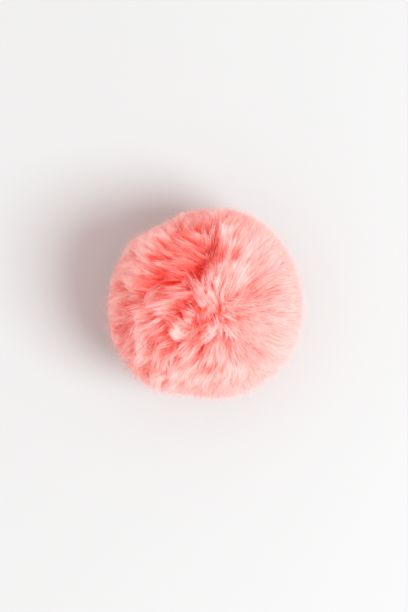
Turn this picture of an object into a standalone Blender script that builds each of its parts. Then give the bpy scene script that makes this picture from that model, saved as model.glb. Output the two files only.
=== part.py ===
"""Fur pom pom: one disc of long-haired fur gathered into a ball, resting on its pressed underside.

The gathered skin is a lumpy backing ball. Locks of hair stand out of it, one from each cell of the
skin, fused to it at their roots and apart from there on. The hair is combed away from a crown and a
parting on top, hangs a little at the sides, and is short and level underneath, where the ball rests.

Metres, +Z up, origin at the bottom centre of the ball's box.
"""

import math

import bmesh
import bpy
import numpy as np
from mathutils import Euler

MM = 0.001

# Driving sizes of the ball
BALL_RADIUS = 45.0 * MM         # to the hair tips, level with the middle
CENTRE_HEIGHT = 36.0 * MM       # middle of the ball above the floor
TOP_RISE = 41.0 * MM            # tips of the top hair above the middle
UNDER_DROP = 42.0 * MM          # tips of the under hair below the middle, before the floor stops them
SKIN_SHARE = 0.68               # radius of the gathered skin as a share of the hair's reach
SKIN_LUMP = 0.05                # how uneven the skin and the hair's reach are, as a share
CELLS_ACROSS = 3                # cells along each of the thirty patches of the skin: 30 * 3 * 3 locks
CELL_WIDTH = 9.7 * MM           # of a cell at the hair tips
CELL_WANDER = 0.28              # how far a cell's corner strays, as a share of the cell
WANDER_SEED = 7
ROW_BEND = 0.09                 # radians by which rows of cells bend out of line
ROW_BENDS = 1.3                 # how many such bends fit across the ball
PATCH_TURN = (0.35, 0.20, 0.55)  # radians about X, Y and Z, so that no row of cells lies square
FOOT_REACH = 16.0 * MM          # locks within this distance of the middle underneath touch the floor

# A lock's sections from its root to its tip: how far up the lock, and how wide as a share of its cell
LOCK_SECTIONS = (
    # up, width of a free lock, width of a pressed lock under the ball
    (0.00, 0.88, 0.86),
    (0.45, 0.86, 0.84),
    (0.81, 0.70, 0.80),
    (1.00, 0.26, 0.74),
)
FREE_LENGTHS = (0.80, 1.00)     # shortest and longest free lock, as shares of the hair's reach
PRESSED_LENGTHS = (0.90, 0.96)  # the same for the locks round the foot, which stop above the floor
LENGTH_SEED = 11

# The comb on the upper side, seen from above: where, which way the hair lies (degrees from +X,
# counterclockwise), how far the tip lies from its root's radius, and how far the stroke is felt.
COMB_STROKES = (
    # x mm, y mm, heading deg, lean mm, felt mm
    (31.0, 2.0, 4.0, 12.0, 11.0),
    (27.0, 20.0, 35.0, 11.0, 10.0),
    (29.0, -17.0, -25.0, 11.0, 10.0),
    (15.0, 13.0, 62.0, 9.0, 7.0),
    (13.0, 31.0, 78.0, 10.0, 9.0),
    (20.0, -8.0, -22.0, 9.0, 7.0),
    (15.0, -24.0, -72.0, 11.0, 10.0),
    (0.0, -33.0, -102.0, 11.0, 10.0),
    (-17.0, -29.0, -125.0, 10.0, 9.0),
    (-4.0, -14.0, -112.0, 8.0, 7.0),
    (4.0, 8.0, -82.0, 9.0, 6.0),
    (-27.0, -16.0, -142.0, 10.0, 9.0),
    (-17.0, -4.0, -168.0, 8.0, 7.0),
    (-33.0, 2.0, 178.0, 11.0, 10.0),
    (-26.0, 18.0, 158.0, 10.0, 8.0),
    (-9.0, 25.0, 148.0, 10.0, 7.0),
    (-17.0, 35.0, 122.0, 10.0, 8.0),
    (0.0, 38.0, 102.0, 9.0, 8.0),
)
SIDE_DROOP = 6.0 * MM           # how far the side hair's tips hang
UNDER_SPLAY = 5.0 * MM          # how far the pressed hair's tips splay out underneath
UNDER_TURN = math.radians(112)  # angle from the top where hanging turns into splaying
COMB_BEND = 1.5                 # the hair stands straight at its root and bends over towards its tip

# Partings: a trough between two places on top, seen from above
PARTINGS = (
    # from x mm, y mm, to x mm, y mm, depth mm, half width mm
    (8.5, 29.0, 7.0, 20.0, 9.0, 5.5),
    (7.0, 20.0, -3.0, 14.5, 12.0, 6.5),
    (-3.0, 14.5, -26.0, 8.0, 10.0, 6.0),
    (-15.0, -4.0, -8.0, -2.5, 4.0, 4.0),
    (-21.0, -12.0, -20.0, -20.0, 4.0, 4.0),
    (8.0, 2.0, 11.0, -5.0, 4.0, 4.0),
)

# Lobes: where a bunch of hair stands out past the ball or falls short of it
LOBES = (
    # azimuth deg, elevation deg, swell mm, felt deg
    (137.0, 10.0, 1.6, 13.0),
    (116.0, 12.0, -3.6, 8.0),
    (66.0, 15.0, 2.2, 17.0),
    (190.0, 0.0, 2.0, 24.0),
    (226.0, 5.0, 2.4, 17.0),
    (262.0, 5.0, -2.2, 10.0),
    (300.0, 0.0, -1.2, 20.0),
    (20.0, 25.0, 1.4, 24.0),
    (345.0, -10.0, 0.8, 20.0),
)

FUR_COLOUR = (0.95, 0.34, 0.30, 1.0)
FUR_ROUGHNESS = 0.9


def unit(vectors):
    """The same arrows, one unit long."""
    return vectors / np.linalg.norm(vectors, axis=-1, keepdims=True)


def from_above(x_mm, y_mm):
    """The direction from the ball's middle to the place on its upper side seen above (x, y)."""
    x = x_mm * MM / BALL_RADIUS
    y = y_mm * MM / BALL_RADIUS
    return np.array((x, y, math.sqrt(1.0 - x * x - y * y)))


def chart(directions):
    """At each direction: angle from the top, the way that leads down from there, and the way round."""
    from_top = np.arccos(np.clip(directions[:, 2], -1.0, 1.0))
    azimuth = np.arctan2(directions[:, 1], directions[:, 0])
    down = np.stack(
        (
            np.cos(from_top) * np.cos(azimuth),
            np.cos(from_top) * np.sin(azimuth),
            -np.sin(from_top),
        ),
        axis=1,
    )
    around = np.stack((-np.sin(azimuth), np.cos(azimuth), np.zeros_like(azimuth)), axis=1)
    return from_top, azimuth, down, around


def comb(directions):
    """How far, in radians over the ball, the comb carries a tip from above its root."""
    from_top, azimuth, down, around = chart(directions)
    hang = np.sin(np.clip(from_top, 0.0, UNDER_TURN) / UNDER_TURN * math.pi)
    splay = np.sin((np.clip(from_top, UNDER_TURN, math.pi) - UNDER_TURN) / (math.pi - UNDER_TURN) * math.pi)
    lean = (SIDE_DROOP * hang - UNDER_SPLAY * splay)[:, None] * down
    weight = np.full(len(directions), 0.25)
    total = weight[:, None] * lean
    for x_mm, y_mm, heading, lean_mm, felt_mm in COMB_STROKES:
        apart = BALL_RADIUS * np.linalg.norm(directions - from_above(x_mm, y_mm), axis=1)
        felt = np.exp(-0.5 * (apart / (felt_mm * MM)) ** 2)
        turn = math.radians(heading) - azimuth
        stroke = np.cos(turn)[:, None] * down + np.sin(turn)[:, None] * around
        total = total + (felt * lean_mm * MM)[:, None] * stroke
        weight = weight + felt
    return total / weight[:, None] / BALL_RADIUS


def trough(directions):
    """How deep the partings are in each direction."""
    depth = np.zeros(len(directions))
    for x0, y0, x1, y1, depth_mm, half_width_mm in PARTINGS:
        start = from_above(x0, y0)
        run = from_above(x1, y1) - start
        along = np.clip((directions - start) @ run / (run @ run), 0.0, 1.0)
        apart = BALL_RADIUS * np.linalg.norm(directions - start - along[:, None] * run, axis=1)
        depth = np.maximum(depth, depth_mm * MM * np.exp(-0.5 * (apart / (half_width_mm * MM)) ** 2))
    return depth


def swell(directions):
    """How far the lobes stand out past the even ball in each direction."""
    total = np.zeros(len(directions))
    for azimuth, elevation, swell_mm, felt in LOBES:
        a = math.radians(azimuth)
        e = math.radians(elevation)
        middle = np.array((math.cos(a) * math.cos(e), math.sin(a) * math.cos(e), math.sin(e)))
        apart = np.arccos(np.clip(directions @ middle, -1.0, 1.0))
        total = total + swell_mm * MM * np.exp(-0.5 * (apart / math.radians(felt)) ** 2)
    return total


def even_reach(directions):
    """Distance from the middle to the hair tips of an even ball with a flat underside."""
    rise = np.where(directions[:, 2] > 0.0, TOP_RISE, UNDER_DROP)
    across = np.hypot(directions[:, 0], directions[:, 1]) / BALL_RADIUS
    return 1.0 / np.hypot(across, directions[:, 2] / rise)


def stop_at_floor(directions, distances):
    """The same distances, shortened where they would pass below the floor."""
    return np.minimum(distances, CENTRE_HEIGHT / np.maximum(-directions[:, 2], 1e-6))


def hair_points(directions, up):
    """Points of the hair rooted in these directions, a share `up` of the way to the longest tips.

    Layers of equal `up` lie inside each other and the comb never folds a layer over, so hair from
    two separate places never meets.
    """
    combed = unit(directions + up**COMB_BEND * comb(directions))
    even = stop_at_floor(combed, even_reach(combed))
    x, y, z = (combed * (2.0 * math.pi)).T
    lump = SKIN_LUMP * np.sin(1.3 * x + 0.4) * np.sin(1.1 * y + 1.7) * np.sin(1.2 * z + 0.9)
    skin = even * SKIN_SHARE * (1.0 + lump)
    tips = stop_at_floor(combed, even_reach(combed) + swell(combed) - trough(combed))
    return combed * (skin + up * (tips - skin))[:, None]


def skin_cells():
    """The skin's cells, as loops of corner directions: thirty rhombic patches, each cut evenly.

    The cells and their corners come in a fixed order, whatever order the operators leave them in.
    """
    bm = bmesh.new()
    bmesh.ops.create_icosphere(bm, subdivisions=1, radius=1.0)
    old_edges = bm.edges[:]
    bmesh.ops.poke(bm, faces=bm.faces[:])
    bmesh.ops.dissolve_edges(bm, edges=old_edges, use_verts=False)
    for vert in bm.verts:
        vert.co.normalize()
    bmesh.ops.subdivide_edges(bm, edges=bm.edges[:], cuts=CELLS_ACROSS - 1, use_grid_fill=True)
    turn = Euler(PATCH_TURN).to_matrix()
    for vert in bm.verts:
        vert.co = (turn @ vert.co).normalized()
    loops = []
    for face in bm.faces:
        corners = [tuple(round(value, 6) for value in vert.co) for vert in face.verts]
        first = corners.index(min(corners))
        loops.append(corners[first:] + corners[:first])
    bm.free()
    return sorted(loops)


def stray(directions):
    """The same cell corners once their rows are bent and each corner has wandered."""
    bend = ROW_BEND * np.sin(directions[:, (1, 2, 0)] * ROW_BENDS * math.pi + np.arange(3.0))
    rng = np.random.default_rng(WANDER_SEED)
    wander = rng.uniform(-1.0, 1.0, directions.shape) * CELL_WANDER * CELL_WIDTH / BALL_RADIUS
    return unit(directions + bend + wander)


def place(points):
    """Points measured from the ball's middle, set above the floor."""
    return points + np.array((0.0, 0.0, CENTRE_HEIGHT))


def lock_length(middle, pressed, chance):
    """The length of the lock in this direction, as a share of the hair's reach there."""
    foot_spread = CENTRE_HEIGHT * math.hypot(middle[0], middle[1]) / max(-middle[2], 1e-6)
    if foot_spread < FOOT_REACH and pressed:
        return 1.0
    shortest, longest = PRESSED_LENGTHS if pressed else FREE_LENGTHS
    return shortest + chance * (longest - shortest)


def raise_lock(bm, seam, corners, chance):
    """Build one lock on a cell of the skin, ring by ring from its root to its tip.

    `seam` holds the cell's corner vertices on the skin, `corners` their directions, and `chance`
    picks the lock's length between the shortest and the longest.
    """
    middle = unit(corners.mean(axis=0))
    pressed = CENTRE_HEIGHT / max(-middle[2], 1e-6) < even_reach(middle[None])[0]
    length = lock_length(middle, pressed, chance)
    lower = seam
    for up, free_width, pressed_width in LOCK_SECTIONS:
        width = pressed_width if pressed else free_width
        directions = unit(middle + width * (corners - middle))
        upper = [bm.verts.new(point) for point in place(hair_points(directions, up * length))]
        for side in range(4):
            after = (side + 1) % 4
            bm.faces.new((lower[side], lower[after], upper[after], upper[side]))
        lower = upper
    bm.faces.new(lower)


def fur_ball():
    """The whole fur ball: the skin's seams between the locks, and the locks."""
    cells = skin_cells()
    corners = sorted({corner for cell in cells for corner in cell})
    directions = stray(np.array(corners))
    bm = bmesh.new()
    seam = [bm.verts.new(point) for point in place(hair_points(directions, 0.0))]
    rng = np.random.default_rng(LENGTH_SEED)
    for cell in cells:
        rows = [corners.index(corner) for corner in cell]
        raise_lock(bm, [seam[row] for row in rows], directions[rows], rng.uniform())
    points = np.array([vert.co for vert in bm.verts])
    middle = (points.min(axis=0) + points.max(axis=0)) / 2.0
    bmesh.ops.translate(bm, verts=bm.verts[:], vec=(-middle[0], -middle[1], 0.0))
    mesh = bpy.data.meshes.new("fur_ball")
    bm.to_mesh(mesh)
    bm.free()
    mesh.shade_smooth()
    return mesh


def fur_material():
    """Soft coral fur."""
    material = bpy.data.materials.new("fur")
    material.use_nodes = True
    shader = material.node_tree.nodes["Principled BSDF"]
    shader.inputs["Base Color"].default_value = FUR_COLOUR
    shader.inputs["Roughness"].default_value = FUR_ROUGHNESS
    shader.inputs["Metallic"].default_value = 0.0
    return material


def main():
    """Clear the scene and build the pom pom."""
    for old in list(bpy.data.objects):
        bpy.data.objects.remove(old)
    mesh = fur_ball()
    mesh.materials.append(fur_material())
    bpy.context.scene.collection.objects.link(bpy.data.objects.new("fur_ball", mesh))


main()
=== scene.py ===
"""Dress a fur pom pom: the gathered skin, the combed pile on it, its stray hairs, and the stage.

The pile is single hairs. They gather into small tufts, and the tufts into locks, which are tight on the
ruffled half of the ball and loose on the smooth half. A comb lays them over in short strokes, away from
a crown and to both sides of a parting.
"""

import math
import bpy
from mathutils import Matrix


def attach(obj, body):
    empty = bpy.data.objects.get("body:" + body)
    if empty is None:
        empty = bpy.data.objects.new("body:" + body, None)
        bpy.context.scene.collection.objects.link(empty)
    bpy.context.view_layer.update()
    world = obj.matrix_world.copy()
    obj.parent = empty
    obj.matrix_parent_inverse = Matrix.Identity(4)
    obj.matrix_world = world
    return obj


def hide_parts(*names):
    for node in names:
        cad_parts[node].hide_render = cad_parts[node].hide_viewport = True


bl_info = {
    "name": "Fur pom pom",
    "version": (1, 0, 0),
    "blender": (4, 5, 0),
    "location": "3D View > Sidebar > Pom pom",
    "description": "Builds the skin, the combed pile and the stage of a fur pom pom",
    "category": "Add Mesh",
}

import bpy
import numpy as np
from bpy.props import FloatProperty, FloatVectorProperty, IntProperty, PointerProperty
from mathutils import Vector

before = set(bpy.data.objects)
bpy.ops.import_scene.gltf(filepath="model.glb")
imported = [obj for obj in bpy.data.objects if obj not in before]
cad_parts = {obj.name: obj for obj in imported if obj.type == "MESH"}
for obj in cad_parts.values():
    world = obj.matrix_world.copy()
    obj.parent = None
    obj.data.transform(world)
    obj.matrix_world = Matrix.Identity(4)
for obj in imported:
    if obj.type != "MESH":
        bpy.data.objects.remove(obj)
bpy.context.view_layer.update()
NODE = "fur_ball"
BODY = "root"
MM = 0.001
MIDDLE = (-0.19 * MM, -1.08 * MM, 36.0 * MM)  # of the ball, from which all hair is measured
RENDER_HEIGHT = 612             # dots
DOT = 0.47 * MM                 # what one dot of the render covers, level with the ball's middle
CAMERA_LOW = 3.0 * DOT          # how far below the ball's middle, in the render, the camera looks

# The comb on the upper side, seen from above: where, which way the hair lies (degrees from +X,
# counterclockwise), and how far its tip is carried from above its root.
COMB_STROKES = (
    # x mm, y mm, heading deg, lean mm
    # the smooth half, right of the crown
    (16.3, -3.4, -2, 4), (22, -2.4, -2, 9), (29.7, -1.4, 0, 15), (36.2, -0.5, 4, 17), (15.5, -9.9, -48, 6),
    (22, -12.8, -34, 11), (30.6, -11.8, -10, 17), (23, -21.2, -30, 17), (31, -21, -18, 17),
    (18.3, -25.9, -55, 17), (18.3, -33.4, -76, 17), (12.6, -16.4, -65, 9), (13.6, -26.8, -88, 17),
    (13.6, -36.2, -100, 17), (8.9, -23, -98, 13), (8.9, -13.6, -72, 6), (16.3, 3.2, 30, 7),
    (21, 5.2, 26, 12), (27.7, 5.2, 20, 17), (36.2, 7.1, 10, 17), (14.6, 10.8, 56, 14), (23, 13.6, 32, 17),
    (31.5, 15.5, 36, 17), (18.3, 19.3, 46, 17), (27.7, 23, 46, 17), (13.6, 24.9, 52, 16),
    (21.2, 29.6, 62, 17), (14.6, 32.4, 55, 16), (8.9, 39, 72, 16), (1.4, 39.5, 84, 15), (6.5, 28.5, 62, 12),
    (4.5, 34.5, 78, 12), (9.5, 33.5, 62, 13), (6, 24, 58, 12), (5, 30, 70, 11), (2.5, 19, 72, 9),
    # the ridge that stands up between the crown and the parting
    (8.5, 1, 96, 7), (11, 5.5, 80, 11), (5, 4.5, 108, 11), (6.6, 9.5, 92, 14), (10.4, 13.5, 70, 14),
    (1, 7, 120, 12), (1.6, 1.6, 132, 10), (1.9, 12, 86, 14), (3.8, 16.5, 76, 13), (3.8, -3.3, 158, 5),
    (9, -4.5, 0, 0), (12.6, -3.8, -10, 2), (9, -8.5, -80, 2),
    # below the crown
    (0, -8, -88, 9), (4.2, -11.8, -76, 10), (0, -15.5, -140, 10), (4.2, -21.2, -112, 13),
    (-0.5, -25.9, -130, 15), (4.2, -30.6, -126, 16), (8.9, -35.3, -108, 16), (-0.5, -36.2, -130, 16),
    (-5.2, -23, -140, 15), (-9.9, -31.5, -142, 16), (-9.9, -39, -122, 16), (-14.6, -23, -126, 14),
    (-19.3, -26.8, -108, 14), (-24, -29.5, -112, 14), (-19.3, -35.3, -116, 15), (-30, -26.8, -126, 15),
    (-10.8, -16.5, -132, 12),
    # the ruffled half, left of the crown
    (-28.7, -19.3, -132, 14), (-34.4, -15.5, -122, 14), (-28.7, -9.9, -134, 14), (-35, -5, -160, 14),
    (-23, -7.1, -158, 15), (-14.6, -8, -160, 12), (-9.9, -7.1, -148, 10), (-24, -2.4, -163, 16),
    (-14.6, -2.4, -166, 14), (-7.1, -2.8, -157, 10), (-33, 1.4, 180, 16), (-23, 2.4, -167, 16),
    (-13.6, 2.4, -164, 15), (-7.1, 3.3, -146, 12), (-23, 8, -166, 15), (-13.6, 8, -150, 14),
    (-4.2, 10.8, -142, 12), (-33, 10.8, 168, 16),
    # past the parting
    (-5, 19.8, -155, 10), (-9, 15.6, -168, 12), (-13.6, 16.5, -171, 15), (-23, 16, 178, 16),
    (-31.5, 17.4, 145, 16), (-3, 25.5, -160, 13), (-8, 24, 184, 15), (-17.4, 22.1, 170, 16),
    (-26.8, 22.1, 146, 16), (-5, 31, 184, 14), (1, 27.5, 198, 14), (-1.5, 32, 176, 13),
    (-8.9, 29.6, 170, 15), (-17.4, 28.7, 138, 16), (-12.7, 35.3, 128, 16), (-5.2, 37, 124, 14),
    (-21, 33.4, 128, 16),
)
STROKE_FELT = 4.6 * MM          # how far from its place a stroke is felt
DROOP_WEIGHT = 0.02             # what the droop counts for beside a stroke at its place
SIDE_DROOP = 14.0 * MM          # how far the side hair's tips hang
SIDE_LEVEL = math.radians(75)   # angle from the top where they hang the furthest
SIDE_FELT = math.radians(28)    # how far from there that is felt
UNDER_SPLAY = 5.0 * MM          # how far the pressed hair's tips splay out underneath
UNDER_TURN = math.radians(118)  # angle from the top where the splaying starts
COMB_BEND = 1.8                 # the hair stands at its root and bends over towards its tip
LIE_DOWN = 1.25                 # how much flatter the last of a hair lies than its root

# Partings, seen from above: a trough between two places. One of negative depth is a raised bank.
PARTINGS = (
    # from x mm, y mm, to x mm, y mm, depth mm, half width mm
    (0.5, 37, 2, 30, 4.5, 2.2), (2, 30, 3, 24, 6, 2.4), (3, 24, -3.5, 18, 6, 3),
    (-3.5, 18, -9, 14.5, 6.5, 3.4), (-8, 14.5, -24, 10, 6.5, 4.2), (-14, 25, 2, 24.5, 3, 6),
    (-6, 6.5, -9.5, 4.5, 5.5, 2), (-15.5, -4.5, -8, -2.5, 7.5, 2.3), (-20.7, -11.5, -18.8, -21.6, 6.5, 2.2),
    (-2.4, -8, -1.4, -13.6, 5.5, 2), (-9.5, -22, -1.5, -21.5, 4.5, 2),
    (-29.6, -20.5, -27.6, -22.5, 4.5, 1.6), (-28.5, -6, -26.5, -6.5, 3.5, 1.6), (-41, 2, -38.5, -17, 4, 3),
    (-6, 41, -4, 34.5, 6, 3), (12, 2.8, 23, 8.9, 2.6, 1.2), (20, 2.4, 33.4, 5.6, 2.6, 1.2),
    (13.6, 19, 17, 25, 2.6, 1.4), (-14.8, 38, -13.6, 34, 4.5, 1.8), (2, 16, 6.5, 3.5, -2.4, 3.2),
    (-8, 3, -26, -1, -1.2, 2.4),
)

# Painted light and shade, seen from above: where the pile is made paler, or deeper, than it would be for its
# height, for how light falls there
PAINTED_LIGHT_AND_SHADE = (
    # x mm, y mm, change of the height that it takes its colour from, felt mm
    # the crown and the ridge
    (12.5, -8, 0.16, 5), (6, -2.5, -0.22, 4), (3, -9, 0.04, 6), (5, 10, 0.26, 3.5), (4.5, 16, -0.32, 3.5),
    (8.5, 14.5, -0.28, 3.5), (8.5, 26.5, -0.32, 3), (14.5, 24, 0.10, 3.5), (9.5, 35.5, 0.28, 3.6),
    (2.5, 36, 0.36, 3.5),
    # right of the crown
    (17, -12, -0.03, 10), (31, -11.5, 0.09, 9), (11, 21, 0.20, 5), (20, 20, 0.07, 6), (26, 28, 0.07, 8),
    (20.5, 38, -0.14, 4), (8, 34, 0.24, 3.5),
    # below the crown
    (8.5, -20, 0.20, 5), (9, -28, 0.16, 4.5), (-6.5, -27.5, 0.16, 4.5), (10, -15, 0.24, 4.5),
    (-5, -18.5, -0.12, 4), (-17, -16.5, 0.38, 3.5), (-10.5, -16, -0.28, 3), (-16.5, -14, 0.24, 2.5),
    (-12.5, -11.5, -0.02, 3.5), (-9.5, -9.5, 0.28, 3), (-0.5, -10, -0.12, 4), (-27, -33, 0.28, 6),
    (-35, -21, 0.20, 4), (-11, -37.5, 0.28, 5), (0, -42, 0.42, 7), (17, -38, 0.24, 6), (1, -34, -0.38, 3.5),
    # left of the crown
    (-17, 2, -0.20, 4), (-16, 8.5, 0.14, 3), (-17, -4, -0.40, 3), (-26, 10.5, -0.12, 5), (-40, 9, 0.48, 5),
    (2.5, 9.5, 0.38, 4), (-34, 3, -0.12, 4), (-37.5, -13.5, 0.42, 5.5), (-23, -20, -0.32, 4),
    (-41, -9, -0.06, 5),
    # past the parting
    (-31, 26, 0.22, 7), (-24, 21, -0.18, 3.5), (-23, 14.6, -0.22, 3.5), (-15.5, 14.6, 0.16, 3),
    (-22, 27, -0.15, 3), (-3.8, 39, -0.40, 3), (-21, 35.5, 0.36, 4.5), (-16, 31.5, -0.44, 4.5),
    (-10, 22, 0.34, 3), (-10.5, 16.5, -0.24, 2.5), (-6, 13, 0.28, 2.5), (-5.5, 22.5, -0.38, 4.5),
    (0, 28, 0.20, 4), (5, 20.5, 0.06, 4), (-12, 22, -0.06, 8), (-18, 34, -0.05, 6),
)

# Swirls, seen from above: where the locks turn aside towards their tips
SWIRLS = (
    # x mm, y mm, turn deg, felt mm
    (-4, 30, -110, 6),
)

# Tousles, seen from above: where the tufts lie every way
TOUSLES = (
    # x mm, y mm, how far a tip may stray mm, felt mm
    (11.5, -6.5, 5, 4.5), (6.5, -3, 3.5, 3.5), (0, -9, 3.5, 5), (-1, 8, 2.5, 3.5),
)

# Locks laid one by one, seen from above: from where it shows, how it lies and turns
LAID_LOCKS = (
    # x mm, y mm, heading deg, turn deg, length mm, width mm, how much paler
    # past the parting
    (3.6, 25.6, 240, -95, 14, 1.5, 0.16), (3, 28.8, 246, -95, 13, 1.5, 0.16),
    (1.8, 22.4, 230, -68, 13, 1.4, 0.14), (-2.2, 18.7, 220, -50, 11.8, 1.3, 0),
    (-10, 25, 178, -16, 10, 2.2, 0.15), (-11, 19.8, 184, -8, 10, 1.6, 0.15),
    (-21, 20.5, 166, -10, 9, 1.8, -0.10), (-27, 21, 150, -8, 10, 2, -0.05),
    (-28, 10.5, 172, -4, 9, 1.8, -0.12), (-11.5, 9.2, 190, -4, 9, 2.4, 0.10),
    (-12, 32, 160, -40, 10, 1.4, -0.10), (-22, 28, 150, -10, 9, 1.8, 0.05), (-4.7, 33.5, 122, 0, 8, 2.4, 0),
    (-16, 29, 148, -8, 11, 4.6, 0), (-18, 24.5, 158, -10, 11, 3.8, 0), (-7, 21, 188, -8, 10, 3, 0),
    (-4, 23.5, 184, -14, 11, 2, 0), (-11, 16.8, 200, -12, 10, 1.7, 0), (-29, 13.5, 140, -10, 9, 2.2, 0),
    # left of the crown
    (-0.5, 5, 150, -12, 7, 2, 0), (-3, 3.4, 196, -8, 13, 2.6, 0.12), (-12, 1.2, 192, 0, 15, 3.2, 0.12),
    (-4.9, -13.4, 172, -26, 12, 5, 0), (-9.9, -19.4, 166, -24, 11, 5, 0),
    (-13.5, -16.5, 200, -6, 9, 3.4, 0.20), (-20, -8.5, 200, 8, 10, 3.4, 0),
    (-25, -4.5, 202, -4, 11, 2.6, 0), (-28.5, -10, 222, 16, 10, 3.8, 0), (-29, -16, 216, 14, 9, 3, 0),
    (-23.5, -20.5, 246, 8, 11, 3.4, 0), (-20.5, -22, 252, 8, 11, 3, 0), (-27, -22, 220, 6, 9, 3, 0),
    # below the crown
    (-2, -17.5, 226, -6, 15, 3.4, 0), (1, -24.5, 222, -4, 13, 3.4, 0), (-8, -28, 238, 4, 12, 4.6, 0),
    (-14, -29, 248, 4, 10.5, 3, 0), (5.5, -4, 262, 0, 5.5, 2, 0), (-1.5, -2.5, 280, 10, 7, 1.8, 0),
    (4.5, -12, 204, 6, 11, 1.8, 0), (5.5, -20, -112, 0, 10, 3.2, 0), (9, -19, -100, 0, 11, 3.4, -0.06),
    (3.5, -27, -126, 4, 10, 3.2, 0),
    # over the crown
    (8, -2, -30, 14, 10, 1.8, -0.05), (9.5, -8, -72, -10, 9, 1.8, -0.03), (10.5, -3, 8, 12, 10, 1.8, -0.05),
    (12, -7.5, -44, 10, 9, 1.6, -0.08),
    # the ridge
    (4.6, -2.6, 122, -6, 11, 2, 0), (7.3, -2.6, 117, -8, 13, 2, 0.10), (6.6, 4, 106, -34, 17, 1.8, 0.15),
    (9.9, 0.6, 98, -30, 19, 2, 0.15), (1.5, -1.5, 138, -6, 9, 2.4, 0), (3, 5, 102, -22, 12, 1.6, 0.20),
    # beyond the ridge
    (11.5, 19.5, 86, -6, 13, 3, 0), (14, 18.5, 66, -6, 12, 2.8, 0), (8.6, 32, 84, -6, 9, 2.3, 0.04),
    (3.2, 33, 98, 4, 8, 2.6, 0.08),
)
LAID_SET_BACK = 0.30            # how far behind its place a laid lock is rooted, as a share of its length
LAID_CLEAR = 5.0 * MM           # no other lock is rooted this close to a laid one
LAID_LIFT = 0.014               # how far a laid lock's tip is lifted, as a share
LAID_LENGTH = 1.04              # of the pile's
LAID_TONE = 0.55                # its tone, from 0 for the deepest to 1 for the palest
LAID_RUFFLED = 0.85             # how ruffled it is at least
LAID_GATHER = 0.88              # how tightly it gathers, as a share, if it had no width
LAID_LOOSER = 0.09              # and how much looser for each mm of its width
LAID_GATHER_LIMITS = (0.50, 0.75)

# Locks that lie as the comb leaves them
FREE_FOLLOW = (0.80, 1.20)      # least and most of the comb's lean that a lock takes
FREE_ASIDE = 0.30               # how far it strays aside, as a share of its lean
FREE_CURL = 0.35                # how much it turns, as a share of its lean
FREE_LIFT = 0.024               # how much its tip is lifted or pressed, as a share
FREE_LENGTH = (0.72, 1.04)      # least and most of the pile's length
FREE_SHADE = 0.07               # how much paler or deeper it shows
FREE_GATHER = 0.62              # how tightly it gathers, as a share
CURL_BACK = 0.6                 # how far a curled strand first swings the other way, as a share of its curl

# How the pile's colour is shifted: painted light and shade, and a random shade for each tuft
RIM_PAINTED_LIGHT = 0.18                # painted light: how much paler the sides are made, for light that comes through the tips
RIM_FELT = 8.0                  # how closely that keeps to the sides
RIM_LIGHT_CAP = 0.06               # how far short of the palest tips the painted rim light stops on the window side
WINDOW_SIDE = math.radians(-22)   # which way, from above, the side lit by the window faces
SMOOTH_PAINTED_LIGHT = 0.05             # painted light: how much paler the smooth pile, which lies towards the window, is made than its height gives
SHORT_PAINTED_SHADE = 0.35             # painted shade: how much deeper a tuft is made for what its length lacks, as it lies lower in the pile
TUFT_SHADE = 0.15               # how much paler or deeper a tuft shows where the pile is ruffled
SUNK_PAINTED_SHADE = 0.60              # painted shade: how much deeper the pile is made at the bottom of a parting
SUNK_DEPTH = 12.0 * MM          # how deep that bottom is

# Where the pile is thick and where it is thin
CROWN = (10.5, -5.5, 7.0)       # where it is thickest: x mm, y mm, how far from there it is felt mm
CROWN_TUFTS = 460               # tufts added there
UNDER_LINE = -0.5               # below this share of the way up from the ball's middle it is pressed
UNDER_TUFTS = 0.5               # share of the tufts that are kept there
STRAY_LINE = -0.75              # no stray is rooted below this share of the way up
LOCK_SHAKE = 0.28               # how far the locks' roots are shaken, as a share of their spacing
TUFT_SHAKE = 0.30               # the same of the tufts
STRAY_SHAKE = 0.50              # the same of the strays
HAIR_SHAKE = 0.55               # how far a tuft's hairs are rooted apart, as a share of the tufts' spacing

# Tufts. A pair here is the smooth pile's value and the ruffled pile's, or the least and the most.
TUFT_LENGTH = (0.88, 1.04)      # least and most, of its lock's
TUFT_LENGTH_FELT = (0.35, 1.0)  # smooth and ruffled: how much of that is felt
TUFT_CURL = 0.15                # how much it turns by itself
LOCK_CURL_FELT = (0.3, 1.0)     # smooth and ruffled: how much of its lock's turn it takes
TUFT_LIFT = 0.006               # how much its tip is lifted or pressed by itself, as a share
TUFT_FOLLOW = (0.88, 1.12)      # least and most of the comb's lean that it takes
TUFT_TOSS = (0.020, 0.035)      # smooth and ruffled: how far its tip is tossed, as a share of the radius
GATHERED_UP = 0.75              # how far up it has joined its lock, as a share
GATHERED_RISE = 1.5             # how late on the way up that happens
SUNK_LIMITS = (-0.3, 0.9)       # how high a bank and how deep a parting count at most

# Hairs
SHORT_HAIRS = 0.25              # share that are short
SHORT_LENGTH = (0.75, 0.93)     # least and most, of the tuft's
LONG_LENGTH = (0.93, 1.05)      # the same of the others
UNDERFUR_LENGTH = (0.55, 0.88)  # least and most, of the pile's
UNDERFUR_FOLLOW = (0.2, 0.9)    # least and most of the comb's lean that underfur takes
UNDERFUR_TIGHT = 0.1            # how closely underfur keeps to its tuft
HAIR_TIGHT = (0.30, 0.80)       # smooth and ruffled: how closely a hair keeps to its tuft
TIGHT_RISE = 1.1                # how late on the way up it does
HAIR_STRAY = 0.030              # how far its tip strays, as a share of the radius
FRIZZ = 0.22 * MM               # how far its tip strays from that
LOCK_TONE = 0.45                # share of a tuft's tone that is its lock's
TONE_SPREAD = (0.22, 1.20)      # smooth and ruffled: how far apart the tufts' tones are
HAIR_TONE = 0.12                # how far a hair's tone strays from its tuft's
TONE_LIMITS = (0.02, 0.98)      # least and most, from 0 for the deepest to 1 for the palest
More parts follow.
